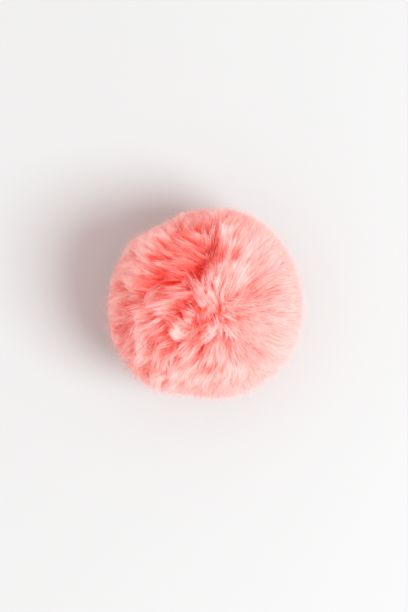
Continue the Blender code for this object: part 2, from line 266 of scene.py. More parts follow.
HAIR_THICKNESS = (0.7, 1.25)    # least and most, of the usual
HAIR_TWIST = 0.5                # how far its ribbon is turned from lying flat on the ball
TONE_SIDES = 0.01               # how far its two sides lie from its tone in the map

# Strays
STRAY_FOLLOW = (0.35, 1.0)      # least and most of the comb's lean that one takes
STRAY_TOSS = 0.10               # how far its tip is tossed, as a share of the radius
STRAY_CURL = 0.5                # how much it turns
STRAY_LENGTH = 0.95             # of the pile's, at least
STRAY_LONGER = 0.38             # how much longer the longest are
STRAY_TONE = (0.3, 0.98)        # least and most, from 0 for the deepest to 1 for the palest

# Lobes: where a bunch of hair stands out past the ball or falls short of it
LOBES = (
    # azimuth deg, elevation deg, swell mm, felt deg
    (137, 8, 0.4, 13), (119, 5, -9.5, 7), (94, 8, -1.6, 10), (160, 4, -0.6, 12), (63, 12, 1.8, 14),
    (195, 0, 1.6, 20), (232, 4, 3, 16), (262, 5, -2.2, 10), (300, 0, -1.2, 20), (20, 25, 1.4, 24),
    (345, -10, 0.8, 20), (312, 5, 3.2, 22), (275, 5, 1.2, 12),
)

# Ruffles: where the hair gathers into separate locks. Elsewhere it lies smooth.
RUFFLES = (
    # azimuth deg, elevation deg, ruffled share, felt deg
    (218.0, 52.0, 1.00, 24.0),
    (140.0, 52.0, 0.75, 18.0),
    (185.0, 15.0, 0.75, 34.0),
    (262.0, 38.0, 0.45, 18.0),
    (102.0, 28.0, 0.60, 15.0),
    (122.0, 50.0, 0.80, 15.0),
    (0.0, -20.0, 0.30, 40.0),
)
RUFFLED_LEAST = 0.05            # share that is ruffled everywhere

# The meshes that the pile is kept in, by where the hair is rooted: lowest and highest share of the way
# up from the ball's middle, and the azimuth that it is centred on
CROWN_LINE = 0.62               # where the sides end and the crown begins
PILE_PARTS = (
    # name, lowest, highest, azimuth deg, half of its spread deg
    ("pile_crown_right", CROWN_LINE, 1.0, 0.0, 90.0),
    ("pile_crown_left", CROWN_LINE, 1.0, 180.0, 90.0),
    ("pile_right", UNDER_LINE, CROWN_LINE, 0.0, 45.0),
    ("pile_back", UNDER_LINE, CROWN_LINE, 90.0, 45.0),
    ("pile_left", UNDER_LINE, CROWN_LINE, 180.0, 45.0),
    ("pile_front", UNDER_LINE, CROWN_LINE, -90.0, 45.0),
    ("pile_under", -1.0, UNDER_LINE, 0.0, 181.0),
)

# A hair's sections: how far along, and its half width
HAIR_SECTIONS = (
    # share of its length, half width as a share of the widest
    (0.28, 0.85),
    (0.58, 1.00),
    (0.82, 0.75),
    (1.00, 0.00),
)
CURVE_STEPS = 13                # points worked out along a strand
CURVE_REACH = 1.2               # how far past its root the last of them lies, as a share of its length
SKIN_UP = 0.26                  # how far up the hair the matted skin reaches, as a share
LUMP_WAVES = ((1.3, 0.4), (1.1, 1.7), (1.2, 0.9))  # waves over the skin along each axis, and their start rad
FLOOR_CLEAR = 0.1 * MM          # how far above the floor the lowest hair lies

SEARCH_PARTS = 8                # how many parts the search for each tuft's lock is done in

# Seeds of the random draws. Each mesh of the pile takes its own place in PILE_PARTS for its hairs' widths.
PILE_SEED = 5
STRAY_SEED = 8
STRAY_WIDTH_SEED = 20

# The finish of the pile
PILE_STOPS = (0.30, 0.58, 0.82, 1.00)   # heights at which its four colours stand
TONE_LEAST = 0.90               # a hair of the deepest tone takes its colour from this share of its height
TONE_RANGE = 0.16               # and one of the palest from this much more
PALE_HAIRS = 0.45               # how far the palest hairs are mixed with the tips' colour
ROOT_ROUGHNESS = 0.62
TIP_SMOOTHER = 0.14             # how much less rough the tips are
SHEEN = 0.25                    # how strongly the hair shines
LIT_THROUGH = 0.55              # share of the light that comes through a hair
DEEP_UP = 0.30                  # how far up a hair the light that comes through is still deep, as a share
PALED_BY = 1.4                  # how fast it turns pale from there
PALED_RISE = 1.6                # and how late
PAINTED_GLOW = (1.0, 0.66, 0.60)        # painted glow: what the pile's colour is multiplied by for its emission, which stands in for light scattered inside the pile
# strength of that painted glow
PAINTED_GLOW_STRENGTH = 0.11

# The finish of the skin and of the floor
MAT_SCALE = 700.0               # how fine the mat of underfur is
MAT_DETAIL = 3.0                # how many finer mats lie within it
MAT_DEEPER = 0.7                # how deep its dark places are beside the dye
MAT_RELIEF = 0.4 * MM           # how high it stands
MAT_RELIEF_SHARE = 0.6          # share of that relief that shows
MATT = 0.9                      # roughness of both

# The stage, in m
WINDOW_PLACE = (1.43, -0.578, 1.878)
WINDOW_AIM = (0.0, 0.0, 0.04)   # the place that the window faces
FLOOR_RADIUS = 6.0


def size(name, description, default):
    """A length that a user may change."""
    return FloatProperty(name=name, description=description, default=default, unit="LENGTH")


def share_of(name, description, default):
    """A share that a user may change."""
    return FloatProperty(name=name, description=description, default=default, subtype="FACTOR")


def colour(name, description, default):
    """A colour that a user may change."""
    return FloatVectorProperty(
        name=name, description=description, default=default, subtype="COLOR", min=0.0, max=1.0
    )


class PomPomShape(bpy.types.PropertyGroup):
    """Sizes of the ball."""

    radius: size("Radius", "To the hair tips, level with the middle", 45.0 * MM)
    top_rise: size("Top rise", "Tips of the top hair above the middle", 41.0 * MM)
    under_drop: size(
        "Under drop", "Tips of the under hair below the middle, before the floor stops them", 42.0 * MM
    )
    skin_share: share_of("Skin share", "Radius of the skin as a share of the hair's reach", 0.68)
    skin_lump: share_of("Skin lump", "How uneven the skin is, as a share", 0.05)


class PomPomPile(bpy.types.PropertyGroup):
    """How the pile is made up."""

    locks: IntProperty(name="Locks", description="Locks that the tufts gather into", default=620)
    tufts: IntProperty(name="Tufts", description="Tufts all over the ball", default=8700)
    hairs: IntProperty(name="Hairs", description="Hairs in a tuft", default=22)
    underfur: share_of("Underfur", "Share of the hairs that are short and stand up", 0.22)
    strays: IntProperty(name="Strays", description="Hairs that stand out of the pile", default=17000)
    hair_width: size("Hair width", "Half width of a hair at its widest", 0.13 * MM)
    stray_width: size("Stray width", "Half width of a stray hair at its widest", 0.05 * MM)


class PomPomColours(bpy.types.PropertyGroup):
    """Colours of the pom pom and its floor."""

    # From root to tip the pile's colours are partly its dye, paler at the tips, and partly painted shade:
    # the deep roots stand in for the dim red light down inside the pile.
    deep: colour("Deep", "Pile at its roots", (0.96, 0.045, 0.026))
    body: colour("Body", "Pile half way up", (0.975, 0.20, 0.146))
    upper: colour("Upper", "Pile near its tips", (0.99, 0.56, 0.496))
    tip: colour("Tip", "Pile at its tips", (1.0, 0.885, 0.865))
    skin: colour("Skin", "The gathered skin", (0.85, 0.035, 0.025))
    floor: colour("Floor", "The floor", (0.60, 0.60, 0.60))


class PomPomStage(bpy.types.PropertyGroup):
    """Light and camera."""

    camera_distance: size("Camera distance", "Above the ball's middle", 0.62)
    room_strength: FloatProperty(
        name="Room", description="Strength of the light from all round", default=0.935, min=0.0
    )
    room_colour: colour("Room colour", "The light from all round", (1.0, 0.868, 0.853))
    window_power: FloatProperty(
        name="Window", description="Power of the window's light", default=58.0, unit="POWER"
    )
    window_size: size("Window size", "Width of the round window", 1.33)
    window_colour: colour("Window colour", "The window's light", (0.81, 0.985, 1.0))


class Wire:
    """A node's output, on which sums may be written: each adds its Math node."""

    def __init__(self, finish, socket):
        self.finish = finish
        self.socket = socket

    def sum(self, operation, first, second):
        return self.finish.node("ShaderNodeMath", {"operation": operation}, {0: first, 1: second}, "Value")

    def __add__(self, other):
        return self.sum("ADD", self, other)

    def __radd__(self, other):
        return self.sum("ADD", other, self)

    def __sub__(self, other):
        return self.sum("SUBTRACT", self, other)

    def __rsub__(self, other):
        return self.sum("SUBTRACT", other, self)

    def __mul__(self, other):
        return self.sum("MULTIPLY", self, other)

    def __rmul__(self, other):
        return self.sum("MULTIPLY", other, self)

    def __pow__(self, other):
        return self.sum("POWER", self, other)


class Finish:
    """A material whose nodes are added one by one."""

    def __init__(self, name):
        self.material = bpy.data.materials.new(name)
        self.material.use_nodes = True
        self.tree = self.material.node_tree
        self.tree.nodes.clear()

    def node(self, kind, settings, values, output):
        """Add a node, set it up, give its sockets values or links, and return one of its outputs."""
        node = self.tree.nodes.new(kind)
        for name, setting in settings.items():
            if name == "stops":
                stops = node.color_ramp.elements
                for spare in range(len(setting) - len(stops)):
                    stops.new(0.5)
                for stop, (position, dye) in zip(stops, setting):
                    stop.position = position
                    stop.color = (*dye, 1.0)
            else:
                setattr(node, name, setting)
        for name, value in values.items():
            if isinstance(value, Wire):
                self.tree.links.new(value.socket, node.inputs[name])
            else:
                node.inputs[name].default_value = value
        return Wire(self, node.outputs[output])

    def close(self, surface):
        """Make this shader the material's surface."""
        material_output = self.tree.nodes.new("ShaderNodeOutputMaterial")
        self.tree.links.new(surface.socket, material_output.inputs["Surface"])
        return self.material


def unit(vectors):
    """The same arrows, one unit long."""
    return vectors / np.linalg.norm(vectors, axis=-1, keepdims=True)


def from_above(ball, x_mm, y_mm):
    """The direction from the ball's middle to the place on its upper side seen above (x, y)."""
    x = x_mm * MM / ball.radius
    y = y_mm * MM / ball.radius
    return np.array((x, y, math.sqrt(1.0 - x * x - y * y)))


def chart(directions):
    """At each direction: angle from the top, the way that leads down from there, and the way round."""
    from_top = np.arccos(np.clip(directions[:, 2], -1.0, 1.0))
    azimuth = np.arctan2(directions[:, 1], directions[:, 0])
    level = np.cos(from_top)
    down = np.stack((level * np.cos(azimuth), level * np.sin(azimuth), -np.sin(from_top)), axis=1)
    around = np.stack((-np.sin(azimuth), np.cos(azimuth), np.zeros_like(azimuth)), axis=1)
    return from_top, azimuth, down, around


def comb(ball, directions):
    """How far, in radians over the ball, the comb carries a tip from above its root."""
    from_top, azimuth, down, around = chart(directions)
    past_turn = np.clip(from_top, UNDER_TURN, math.pi) - UNDER_TURN
    hang = np.exp(-0.5 * ((from_top - SIDE_LEVEL) / SIDE_FELT) ** 2)
    splay = np.sin(past_turn / (math.pi - UNDER_TURN) * math.pi)
    lean = (SIDE_DROOP * hang - UNDER_SPLAY * splay)[:, None] * down
    weight = np.full(len(directions), DROOP_WEIGHT)
    total = weight[:, None] * lean
    for x_mm, y_mm, heading, lean_mm in COMB_STROKES:
        apart = ball.radius * np.linalg.norm(directions - from_above(ball, x_mm, y_mm), axis=1)
        felt = np.exp(-0.5 * (apart / STROKE_FELT) ** 2)
        turn = math.radians(heading) - azimuth
        stroke = np.cos(turn)[:, None] * down + np.sin(turn)[:, None] * around
        total = total + (felt * lean_mm * MM)[:, None] * stroke
        weight = weight + felt
    return total / weight[:, None] / ball.radius


def trough(ball, directions):
    """How deep the partings are in each direction, less how high the banks stand."""
    depth = np.zeros(len(directions))
    bank = np.zeros(len(directions))
    for x0, y0, x1, y1, depth_mm, half_width_mm in PARTINGS:
        start = from_above(ball, x0, y0)
        run = from_above(ball, x1, y1) - start
        along = np.clip((directions - start) @ run / (run @ run), 0.0, 1.0)
        apart = ball.radius * np.linalg.norm(directions - start - along[:, None] * run, axis=1)
        felt = abs(depth_mm) * MM * np.exp(-0.5 * (apart / (half_width_mm * MM)) ** 2)
        if depth_mm > 0.0:
            depth = np.maximum(depth, felt)
        else:
            bank = np.maximum(bank, felt)
    return depth - bank


def felt_from(directions, azimuth, elevation, felt):
    """How much is felt in each direction of what is done at one place on the ball, all in degrees."""
    a = math.radians(azimuth)
    e = math.radians(elevation)
    middle = np.array((math.cos(a) * math.cos(e), math.sin(a) * math.cos(e), math.sin(e)))
    apart = np.arccos(np.clip(directions @ middle, -1.0, 1.0))
    return np.exp(-0.5 * (apart / math.radians(felt)) ** 2)


def felt_above(ball, directions, x_mm, y_mm, felt_mm):
    """How much is felt in each direction of what is done at the place seen above (x, y)."""
    apart = ball.radius * np.linalg.norm(directions - from_above(ball, x_mm, y_mm), axis=1)
    return np.exp(-0.5 * (apart / (felt_mm * MM)) ** 2)


def swell(directions):
    """How far the lobes stand out past the even ball in each direction."""
    total = np.zeros(len(directions))
    for azimuth, elevation, swell_mm, felt in LOBES:
        total = total + swell_mm * MM * felt_from(directions, azimuth, elevation, felt)
    return total


def ruffle(directions):
    """How tightly the hair gathers into locks in each direction, as a share."""
    smooth = np.full(len(directions), 1.0 - RUFFLED_LEAST)
    for azimuth, elevation, share, felt in RUFFLES:
        smooth = smooth * (1.0 - share * felt_from(directions, azimuth, elevation, felt))
    return 1.0 - smooth


def even_reach(ball, directions):
    """Distance from the middle to the hair tips of an even ball with a flat underside."""
    rise = np.where(directions[:, 2] > 0.0, ball.top_rise, ball.under_drop)
    across = np.hypot(directions[:, 0], directions[:, 1]) / ball.radius
    return 1.0 / np.hypot(across, directions[:, 2] / rise)


def stop_at_floor(directions, distances):
    """The same distances, shortened where they would pass below the floor."""
    return np.minimum(distances, MIDDLE[2] / np.maximum(-directions[:, 2], 1e-6))


def hair_points(ball, rooted, up, lean):
    """Points of the hair rooted in these directions, a share `up` of the way to the longest tips.

    They are measured from the ball's middle. `lean` is how far the comb carries each hair's tip.
    """
    combed = unit(rooted + (up**COMB_BEND)[:, None] * lean)
    even = stop_at_floor(combed, even_reach(ball, combed))
    lump = ball.skin_lump
    for way, (waves, start) in zip((combed * (2.0 * math.pi)).T, LUMP_WAVES):
        lump = lump * np.sin(waves * way + start)
    skin = even * ball.skin_share * (1.0 + lump)
    reach = stop_at_floor(combed, even_reach(ball, combed) + swell(combed) - trough(ball, combed))
    rise = 1.0 - np.maximum(1.0 - up, 0.0) ** LIE_DOWN + np.maximum(up - 1.0, 0.0)
    return combed * (skin + rise * (reach - skin))[:, None]


def spread(count, rng, shake):
    """Directions spread evenly over the ball, each shaken by a share of their spacing."""
    step = np.arange(count) + 0.5
    height = 1.0 - 2.0 * step / count
    turn = math.pi * (1.0 + math.sqrt(5.0)) * step
    across = np.sqrt(1.0 - height * height)
    directions = np.stack((across * np.cos(turn), across * np.sin(turn), height), axis=1)
    spacing = math.sqrt(4.0 * math.pi / count)
    return unit(directions + rng.normal(0.0, shake * spacing, directions.shape))


def nearest(directions, centres):
    """The row of the nearest centre to each direction."""
    parts = [np.argmax(part @ centres.T, axis=1) for part in np.array_split(directions, SEARCH_PARTS)]
    return np.concatenate(parts)


def sideways(directions, lean):
    """The way across each lean, over the ball."""
    return np.cross(directions, lean)


def curves(ball, rooted, lean, curl, lift):
    """Points along each strand, at even steps of `up` from its root to past its tip.

    `curl` turns the outer half of the strand aside, and `lift` raises its tip, both as shares.
    """
    steps = []
    aside = sideways(rooted, lean)
    for up in np.linspace(0.0, CURVE_REACH, CURVE_STEPS):
        bent = lean + aside * (curl * ((1.0 + CURL_BACK) * up - CURL_BACK))[:, None]
        points = hair_points(ball, rooted, np.full(len(rooted), up), bent)
        steps.append(points * (1.0 + lift * up * up)[:, None])
    return np.stack(steps, axis=1)


def along(curve, rows, up):
    """The points a share `up` along the curves in these rows."""
    step = np.clip(up / CURVE_REACH * (CURVE_STEPS - 1), 0.0, CURVE_STEPS - 1.001)
    before = step.astype(int)
    past = (step - before)[:, None]
    return curve[rows, before] * (1.0 - past) + curve[rows, before + 1] * past


def root_tufts(ball, pile, rng):
    """Directions of the tufts: even over the ball, fewer where it is pressed, and more at the crown."""
    even = spread(pile.tufts, rng, TUFT_SHAKE)
    kept = even[(even[:, 2] > UNDER_LINE) | (rng.uniform(size=len(even)) < UNDER_TUFTS)]
    x_mm, y_mm, felt_mm = CROWN
    strayed = rng.normal(0.0, felt_mm * MM / ball.radius, (CROWN_TUFTS, 3))
    return np.concatenate((kept, unit(from_above(ball, x_mm, y_mm) + strayed)))


def root_laid_lock(ball, x_mm, y_mm, heading, turn, length_mm):
    """Where a listed laid lock is rooted, and its lean."""
    way = np.array((math.cos(math.radians(heading)), math.sin(math.radians(heading))))
    back_x, back_y = np.array((x_mm, y_mm)) - LAID_SET_BACK * length_mm * way
    root = from_above(ball, back_x, back_y)
    from_top, azimuth, down, around = chart(root[None])
    aside = math.radians(heading + 0.5 * turn) - azimuth[0]
    carried = (1.0 + LAID_SET_BACK) * length_mm * MM / ball.radius
    return root, carried * (math.cos(aside) * down[0] + math.sin(aside) * around[0])


def root_locks(ball, pile, rng):
    """The locks: where each is rooted, how it lies and turns, its length, its colour and how tight it is."""
    even = spread(pile.locks, rng, LOCK_SHAKE)
    laid, lean = zip(*(root_laid_lock(ball, *row[:5]) for row in LAID_LOCKS))
    laid = np.array(laid)
    turns = np.radians([row[3] for row in LAID_LOCKS])
    widths = np.array([row[5] for row in LAID_LOCKS])
    palers = [row[6] for row in LAID_LOCKS]
    laid_gather = np.clip(LAID_GATHER - LAID_LOOSER * widths, *LAID_GATHER_LIMITS)

    free = (even @ laid.T).max(axis=1) < math.cos(LAID_CLEAR / ball.radius)
    count = len(even)
    combed = comb(ball, even)
    free_lean = combed * rng.uniform(*FREE_FOLLOW, count)[:, None]
    free_lean = free_lean + sideways(even, combed) * rng.normal(0.0, FREE_ASIDE, count)[:, None]
    free_curl = rng.normal(0.0, FREE_CURL, count)
    for x_mm, y_mm, turn, felt_mm in SWIRLS:
        free_curl = free_curl + 0.5 * math.radians(turn) * felt_above(ball, even, x_mm, y_mm, felt_mm)
    free_lift = rng.normal(0.0, FREE_LIFT, count)
    free_length = rng.uniform(*FREE_LENGTH, count)
    free_tone = rng.uniform(0.0, 1.0, count)
    free_shade = rng.normal(0.0, FREE_SHADE, count)

    def join(of_free, of_laid):
        """A value of the free locks, then of the laid ones."""
        return np.concatenate((of_free[free], np.broadcast_to(of_laid, (len(laid), *of_free.shape[1:]))))

    return {
        "root": join(even, laid),
        "lean": join(free_lean, lean),
        "curl": join(free_curl, 0.5 * turns),
        "lift": join(free_lift, LAID_LIFT),
        "length": join(free_length, LAID_LENGTH),
        "tone": join(free_tone, LAID_TONE),
        "shade": join(free_shade, palers),
        "laid": join(np.zeros(count), 1.0),
        "gather": join(np.full(count, FREE_GATHER), laid_gather),
    }


def between(pair, ruffled):
    """A value between the smooth pile's and the ruffled pile's."""
    smooth, rough = pair
    return smooth + (rough - smooth) * ruffled


def sink(ball, tip_way):
    """How far down a parting each tip lies, as a share, or how far up a bank."""
    return np.clip(trough(ball, tip_way) / SUNK_DEPTH, *SUNK_LIMITS)


def lay_tufts(ball, pile, rng):
    """The tufts: where each is rooted, how far it strays from the comb, its curve, length, and colour with
    its painted light and shade.
    """
    locks = root_locks(ball, pile, rng)
    tufts = root_tufts(ball, pile, rng)
    lock = nearest(tufts, locks["root"])
    count = len(tufts)
    lock_curve = curves(ball, locks["root"], locks["lean"], locks["curl"], locks["lift"])
    lock_comb = comb(ball, locks["root"])
    ruffled = np.maximum(ruffle(tufts), LAID_RUFFLED * locks["laid"][lock])

    own_length = 1.0 + (rng.uniform(*TUFT_LENGTH, count) - 1.0) * between(TUFT_LENGTH_FELT, ruffled)
    length = (1.0 - (1.0 - locks["length"][lock]) * ruffled) * own_length
    curl = locks["curl"][lock] * between(LOCK_CURL_FELT, ruffled) + rng.normal(0.0, TUFT_CURL, count)
    lift = locks["lift"][lock] * ruffled + rng.normal(0.0, TUFT_LIFT, count)
    combed = comb(ball, tufts)
    toss = between(TUFT_TOSS, ruffled)
    for x_mm, y_mm, stray_mm, felt_mm in TOUSLES:
        toss = toss + stray_mm * MM / ball.radius * felt_above(ball, tufts, x_mm, y_mm, felt_mm)
    lean = combed * rng.uniform(*TUFT_FOLLOW, count)[:, None]
    lean = lean + (locks["lean"] - lock_comb)[lock] * ruffled[:, None]
    lean = lean + rng.normal(0.0, 1.0, (count, 3)) * toss[:, None]
    curve = curves(ball, tufts, lean, curl, lift)
    up = np.linspace(0.0, CURVE_REACH, CURVE_STEPS)
    gathered = np.clip(up / GATHERED_UP, 0.0, 1.0) ** GATHERED_RISE
    gather = (locks["gather"][lock] * ruffled)[:, None, None] * gathered[None, :, None]
    curve = curve + (lock_curve[lock] - curve) * gather

    tip_way = unit(tufts + lean)
    # Painted light on the smooth half, towards the window, and painted shade down partings.
    shade = 1.0 + SMOOTH_PAINTED_LIGHT * (1.0 - ruffled) - SUNK_PAINTED_SHADE * sink(ball, tip_way)
    # Painted shade: a short tuft, lying lower, is made deeper.
    shade = shade - SHORT_PAINTED_SHADE * (1.0 - length)
    shade = shade + (locks["shade"][lock] + TUFT_SHADE * rng.normal(size=count)) * ruffled
    # Painted rim light: the sides are made paler, as if lit through their tips; facing is how far a tip
    # faces the window.
    rim_light = np.sin(np.minimum(np.arccos(tip_way[:, 2]), 0.5 * math.pi)) ** RIM_FELT
    facing = 0.5 + 0.5 * np.cos(np.arctan2(tip_way[:, 1], tip_way[:, 0]) - WINDOW_SIDE)
    shade = shade + RIM_PAINTED_LIGHT * rim_light
    # Painted light and shade, place by place.
    for x_mm, y_mm, change, felt_mm in PAINTED_LIGHT_AND_SHADE:
        shade = shade + change * felt_above(ball, tip_way, x_mm, y_mm, felt_mm)
    return {
        "root": tufts,
        "astray": lean - combed,
        "curve": curve,
        "length": length,
        "ruffled": ruffled,
        "shade": shade,
        # the palest colour that the painted rim light may give, held back on the window side
        "palest": 1.0 - RIM_LIGHT_CAP * facing * rim_light,
        "lock_tone": locks["tone"][lock],
    }


def lay_pile(ball, pile):
    """Lay every hair of the pile. Returns where each is rooted, its points, their heights, which pick their
    colour with its painted light and shade, and its tone.
    """
    rng = np.random.default_rng(PILE_SEED)
    tufts = lay_tufts(ball, pile, rng)
    ruffled = tufts["ruffled"]
    tuft = np.repeat(np.arange(len(ruffled)), pile.hairs)
    total = len(tuft)
    spacing = math.sqrt(4.0 * math.pi / pile.tufts)
    under = rng.uniform(size=total) < pile.underfur
    rooted = unit(tufts["root"][tuft] + rng.normal(0.0, HAIR_SHAKE * spacing, (total, 3)))
    follow = np.where(under, rng.uniform(*UNDERFUR_FOLLOW, total), 1.0)
    lean = comb(ball, rooted) * follow[:, None]
    lean = lean + tufts["astray"][tuft] + rng.normal(0.0, HAIR_STRAY, (total, 3))
    short = rng.uniform(size=total) < SHORT_HAIRS
    length = np.where(short, rng.uniform(*SHORT_LENGTH, total), rng.uniform(*LONG_LENGTH, total))
    length = np.where(under, rng.uniform(*UNDERFUR_LENGTH, total), tufts["length"][tuft] * length)
    tight = np.where(under, UNDERFUR_TIGHT, between(HAIR_TIGHT, ruffled)[tuft])

    points = []
    heights = []
    frizz = rng.normal(0.0, FRIZZ, (total, 3))
    for share, width in HAIR_SECTIONS:
        up = share * length
        own = hair_points(ball, rooted, up, lean)
        drawn = along(tufts["curve"], tuft, up)
        points.append(own + (drawn - own) * (tight * share**TIGHT_RISE)[:, None] + frizz * share)
        heights.append(share * np.where(under, length, 1.0) * tufts["shade"][tuft])
    points = np.stack(points, axis=1)
    # Each hair's heights pick its colour and carry the painted light and shade; at the lit rim they stop at
    # the palest.
    heights = np.clip(np.stack(heights, axis=1), 0.0, tufts["palest"][tuft, None])
    own_tone = LOCK_TONE * tufts["lock_tone"] + (1.0 - LOCK_TONE) * rng.uniform(0.0, 1.0, len(ruffled))
    tone = 0.5 + (own_tone - 0.5) * between(TONE_SPREAD, ruffled)
    tone = np.clip(tone[tuft] + rng.normal(0.0, HAIR_TONE, total), *TONE_LIMITS)
    return rooted, set_down(points), heights, tone


def lay_strays(ball, pile):
    """Lay the fine hairs that stand out of the pile."""
    rng = np.random.default_rng(STRAY_SEED)
    rooted = spread(pile.strays, rng, STRAY_SHAKE)
    rooted = rooted[rooted[:, 2] > STRAY_LINE]
    total = len(rooted)
    lean = comb(ball, rooted) * rng.uniform(*STRAY_FOLLOW, total)[:, None]
    lean = lean + rng.normal(0.0, STRAY_TOSS, (total, 3))
    curl = rng.normal(0.0, STRAY_CURL, total)
    length = STRAY_LENGTH + STRAY_LONGER * rng.uniform(size=total) ** 2
    curve = curves(ball, rooted, lean, curl, np.zeros(total))
    # Painted shade: a stray whose tip lies down a parting is made deeper.
    shade = 1.0 - SUNK_PAINTED_SHADE * np.maximum(sink(ball, unit(rooted + lean)), 0.0)
    every = np.arange(total)
    points = np.stack([along(curve, every, share * length) for share, width in HAIR_SECTIONS], axis=1)
    heights = np.stack([share * shade for share, width in HAIR_SECTIONS], axis=1)
    return rooted, set_down(points), heights, rng.uniform(*STRAY_TONE, total)


def set_down(points):
    """Points measured from the ball's middle, set in their place above the floor."""
    placed = points + np.array(MIDDLE)
    placed[..., 2] = np.maximum(placed[..., 2], FLOOR_CLEAR)
    return placed


def hair_mesh(name, points, heights, tone, half_width, seed):
    """A mesh of thin ribbons, one for each hair, mapped by its tone and its heights."""
    rng = np.random.default_rng(seed)
    total, sections = points.shape[:2]
    tangent = unit(np.gradient(points, axis=1))
    facing = unit(points - np.array(MIDDLE)) + rng.normal(0.0, HAIR_TWIST, (total, 1, 3))
    facing = unit(facing - (facing * tangent).sum(axis=-1, keepdims=True) * tangent)
    widths = np.array([width for share, width in HAIR_SECTIONS]) * half_width
    aside = np.cross(tangent, facing) * widths[:, None] * rng.uniform(*HAIR_THICKNESS, (total, 1, 1))
    corners = 2 * sections - 1
    vertices = np.empty((total, corners, 3))
    vertices[:, 0:-1:2] = (points - aside)[:, :-1]
    vertices[:, 1:-1:2] = (points + aside)[:, :-1]
    vertices[:, -1] = points[:, -1]
    uv = np.empty((total, corners, 2))
    uv[:, 0:-1:2, 0] = tone[:, None] - TONE_SIDES
    uv[:, 1:-1:2, 0] = tone[:, None] + TONE_SIDES
    uv[:, -1, 0] = tone
    uv[:, 0:-1:2, 1] = heights[:, :-1]
    uv[:, 1:-1:2, 1] = heights[:, :-1]
    uv[:, -1, 1] = heights[:, -1]

    faces = []
    for step in range(sections - 2):
        faces += [2 * step, 2 * step + 1, 2 * step + 3, 2 * step + 2]
    faces += [corners - 3, corners - 2, corners - 1]
    loops = (np.array(faces)[None, :] + corners * np.arange(total)[:, None]).ravel()
    sizes = np.tile([4] * (sections - 2) + [3], total)
    mesh = bpy.data.meshes.new(name)
    mesh.vertices.add(total * corners)
    mesh.vertices.foreach_set("co", vertices.astype(np.float32).ravel())
    mesh.loops.add(len(loops))
    mesh.loops.foreach_set("vertex_index", loops.astype(np.int32))
    mesh.polygons.add(len(sizes))
    mesh.polygons.foreach_set("loop_start", (np.cumsum(sizes) - sizes).astype(np.int32))
    mesh.update(calc_edges=True)
    mesh.shade_smooth()
    layer = mesh.uv_layers.new(name="OFBake")
    layer.data.foreach_set("uv", uv.reshape(-1, 2)[loops].astype(np.float32).ravel())
    return mesh


def pile_material(colours):
    """Silky dyed fur, lit through: deep at the roots and pale at the tips, partly dye and partly painted
    shade down in the pile, with a painted glow.
    """
    finish = Finish("pile")
    uv = finish.node("ShaderNodeUVMap", {"uv_map": "OFBake"}, {}, "UV")
    tone = finish.node("ShaderNodeSeparateXYZ", {}, {"Vector": uv}, "X")
    height = finish.node("ShaderNodeSeparateXYZ", {}, {"Vector": uv}, "Y")
    stops = tuple(zip(PILE_STOPS, (colours.deep, colours.body, colours.upper, colours.tip)))
    shown = height * (TONE_LEAST + TONE_RANGE * tone)
    dyed = finish.node("ShaderNodeValToRGB", {"stops": stops}, {"Fac": shown}, "Color")
    pale = finish.node(
        "ShaderNodeMix",
        {"data_type": "RGBA"},
        {"Factor": PALE_HAIRS * tone * tone * height, "A": dyed, "B": (*colours.tip, 1.0)},
        "Result",
    )
    # Painted glow: emission in the pile's own colour, standing in for light scattered inside the pile.
    painted_glow_colour = finish.node(
        "ShaderNodeMix",
        {"data_type": "RGBA", "blend_type": "MULTIPLY"},
        {"Factor": 1.0, "A": pale, "B": (*PAINTED_GLOW, 1.0)},
        "Result",
    )
    glossy = finish.node(
        "ShaderNodeBsdfPrincipled",
        {},
        {
            "Base Color": pale,
            "Roughness": ROOT_ROUGHNESS - TIP_SMOOTHER * height,
            "Specular IOR Level": SHEEN,
            "Emission Color": painted_glow_colour,
            "Emission Strength": PAINTED_GLOW_STRENGTH,
        },
        "BSDF",
    )
    deep_through = finish.node("ShaderNodeBsdfTranslucent", {}, {"Color": (*colours.deep, 1.0)}, "BSDF")
    tip_through = finish.node("ShaderNodeBsdfTranslucent", {}, {"Color": (*colours.tip, 1.0)}, "BSDF")
    paled = (PALED_BY * (height - DEEP_UP)) ** PALED_RISE
    through = finish.node("ShaderNodeMixShader", {}, {0: paled, 1: deep_through, 2: tip_through}, "Shader")
    return finish.close(
        finish.node("ShaderNodeMixShader", {}, {0: LIT_THROUGH, 1: glossy, 2: through}, "Shader")
    )


def skin_material(colours):
    """The dyed skin that the hair grows from, matted with short underfur."""
    finish = Finish("skin")
    place = finish.node("ShaderNodeTexCoord", {}, {}, "Object")
    mat = {"Vector": place, "Scale": MAT_SCALE, "Detail": MAT_DETAIL}
    matted = finish.node("ShaderNodeTexNoise", {}, mat, "Fac")
    stops = ((0.3, [MAT_DEEPER * part for part in colours.skin]), (0.7, colours.skin))
    dyed = finish.node("ShaderNodeValToRGB", {"stops": stops}, {"Fac": matted}, "Color")
    relief = {"Strength": MAT_RELIEF_SHARE, "Distance": MAT_RELIEF, "Height": matted}
    bump = finish.node("ShaderNodeBump", {}, relief, "Normal")
    matt = {"Base Color": dyed, "Roughness": MATT, "Normal": bump}
    return finish.close(finish.node("ShaderNodeBsdfPrincipled", {}, matt, "BSDF"))


def floor_material(colours):
    """A plain matt surface."""
    finish = Finish("floor")
    matt = {"Base Color": (*colours.floor, 1.0), "Roughness": MATT}
    return finish.close(finish.node("ShaderNodeBsdfPrincipled", {}, matt, "BSDF"))


def add_piece(name, mesh, material):
    """Show a mesh as a piece of the pom pom, in place of its plain solid."""
    mesh.materials.clear()
    mesh.materials.append(material)
    piece = bpy.data.objects.new(name, mesh)
    bpy.context.scene.collection.objects.link(piece)
    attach(piece, BODY)
    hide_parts(NODE)
    return piece


